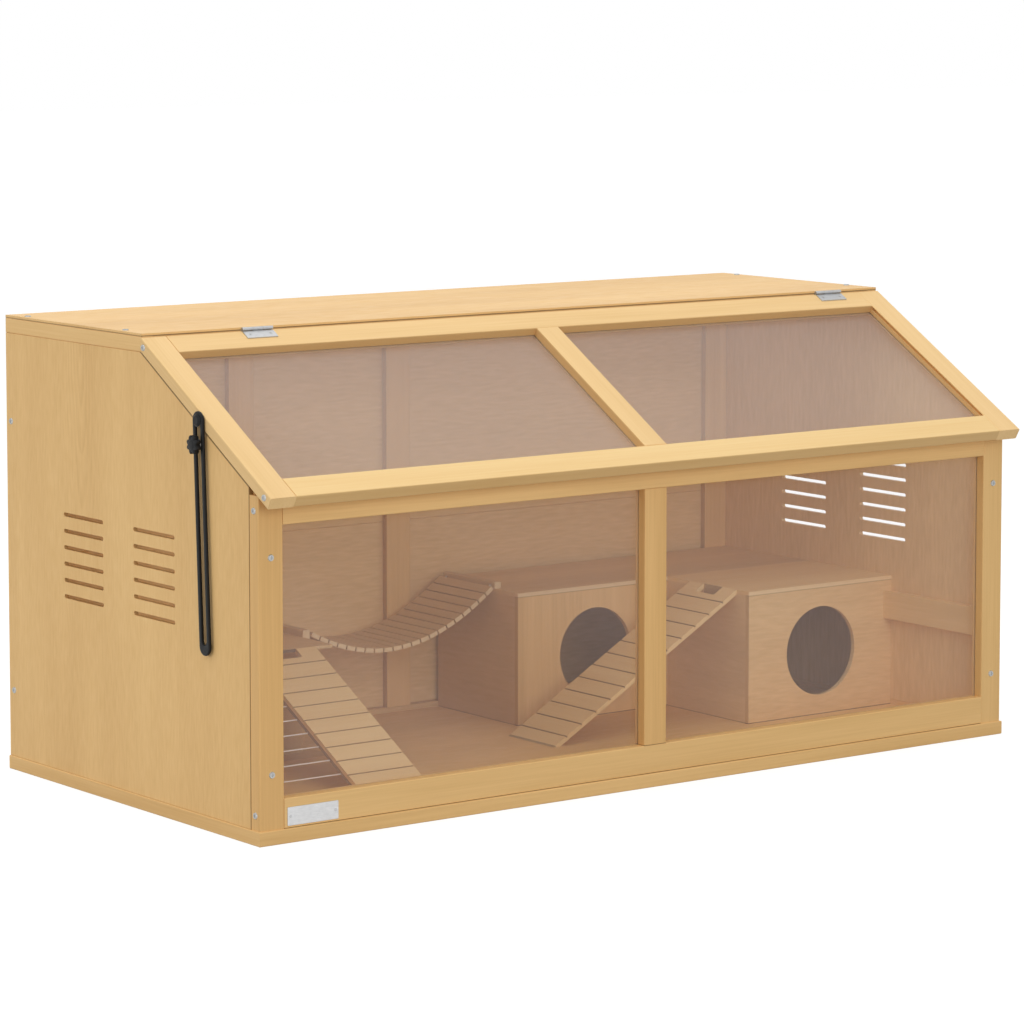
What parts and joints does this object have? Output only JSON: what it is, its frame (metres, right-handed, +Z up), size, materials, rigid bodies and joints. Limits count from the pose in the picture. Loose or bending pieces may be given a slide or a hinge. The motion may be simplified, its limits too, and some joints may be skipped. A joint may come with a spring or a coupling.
{
  "type": "wooden hamster cage",
  "caption": "Long wooden small-pet cage with a glazed front and a sloping glazed lid on hinges with a slotted stay, over huts, ramps, a platform and a hanging bridge.",
  "frame": {"origin": "middle of the underside of the base", "axes": "+X along the cage to the right seen from the front, +Y to the back, +Z up"},
  "size_m": [1.1655, 0.5973, 0.5682],
  "materials": {
    "frame_wood": "clear lacquered softwood with long grain",
    "panel_wood": "clear lacquered veneered panel",
    "fitting_wood": "plain sanded wood",
    "tinted_acrylic": "clear tinted sheet",
    "zinc_steel": "zinc plated",
    "black_plastic": "moulded black",
    "white_coated_wire": "white coated",
    "cord": "twisted cord"
  },
  "bodies": {
    "cabinet": {"base_front_board": "frame_wood", "base_back_board": "frame_wood", "base_left_board": "frame_wood", "base_right_board": "frame_wood", "floor_board": "panel_wood", "left_side_panel": "panel_wood", "right_side_panel": "panel_wood", "back_lower_panel": "panel_wood", "back_upper_panel": "panel_wood", "back_left_post": "frame_wood", "back_right_post": "frame_wood", "back_middle_batten": "frame_wood", "back_side_batten": "frame_wood", "roof_left_rail": "frame_wood", "roof_right_rail": "frame_wood", "roof_front_rail": "frame_wood", "roof_back_rail": "frame_wood", "roof_board": "panel_wood", "front_left_stile": "frame_wood", "front_right_stile": "frame_wood", "front_middle_stile": "frame_wood", "front_bottom_rail": "frame_wood", "front_top_rail": "frame_wood", "front_left_pane": "tinted_acrylic", "front_right_pane": "tinted_acrylic", "hinge_roof_leaves": "zinc_steel", "hinge_pins": "zinc_steel", "hinge_roof_screws": "zinc_steel", "platform_board": "fitting_wood", "platform_legs": "fitting_wood", "left_ramp_board": "fitting_wood", "left_ramp_stringers": "fitting_wood", "left_ramp_rungs": "white_coated_wire", "right_ramp_board": "fitting_wood", "front_hut_face": "fitting_wood", "front_hut_side": "fitting_wood", "front_hut_roof": "fitting_wood", "rear_hut_face": "fitting_wood", "rear_hut_side": "fitting_wood", "rear_hut_roof": "fitting_wood", "wall_rail": "fitting_wood", "bridge_slats": "fitting_wood", "bridge_end_blocks": "fitting_wood", "bridge_cords": "cord", "cabinet_screws": "zinc_steel"},
    "lid": {"lid_left_stile": "frame_wood", "lid_right_stile": "frame_wood", "lid_top_rail": "frame_wood", "lid_bottom_rail": "frame_wood", "lid_middle_bar": "frame_wood", "lid_left_pane": "tinted_acrylic", "lid_right_pane": "tinted_acrylic", "hinge_lid_leaves": "zinc_steel", "hinge_lid_screws": "zinc_steel", "stay_pivot_screw": "black_plastic", "lid_screws": "zinc_steel"},
    "stay": {"stay_arm": "black_plastic"},
    "stay_slider": {"stay_bolt": "zinc_steel"},
    "knob": {"star_knob": "black_plastic"}
  },
  "joints": [
    {"name": "lid_hinge", "type": "hinge", "parent": "cabinet", "child": "lid", "pos_m": [0, -0.0375, 0.56494], "axis": [-1, 0, 0], "range_deg": [0, 90]},
    {"name": "stay_swing", "type": "hinge", "parent": "lid", "child": "stay", "pos_m": [-0.5775, -0.16558, 0.47716], "axis": [-1, 0, 0], "range_deg": [-82.86, 0]},
    {"name": "stay_slide", "type": "slide", "parent": "stay", "child": "stay_slider", "axis": [0, -0.0443, -0.999], "range_m": [0, 0.21935]},
    {"name": "knob_spin", "type": "hinge", "parent": "stay_slider", "child": "knob", "pos_m": [-0.5875, -0.16681, 0.44959], "axis": [-1, 0, 0], "continuous": true}
  ],
  "couplings": [
    {"joint": "stay_swing", "follows": "lid_hinge", "ratio": -0.92065},
    {"joint": "stay_slide", "follows": "lid_hinge", "m_per_rad": 0.13964}
  ]
}
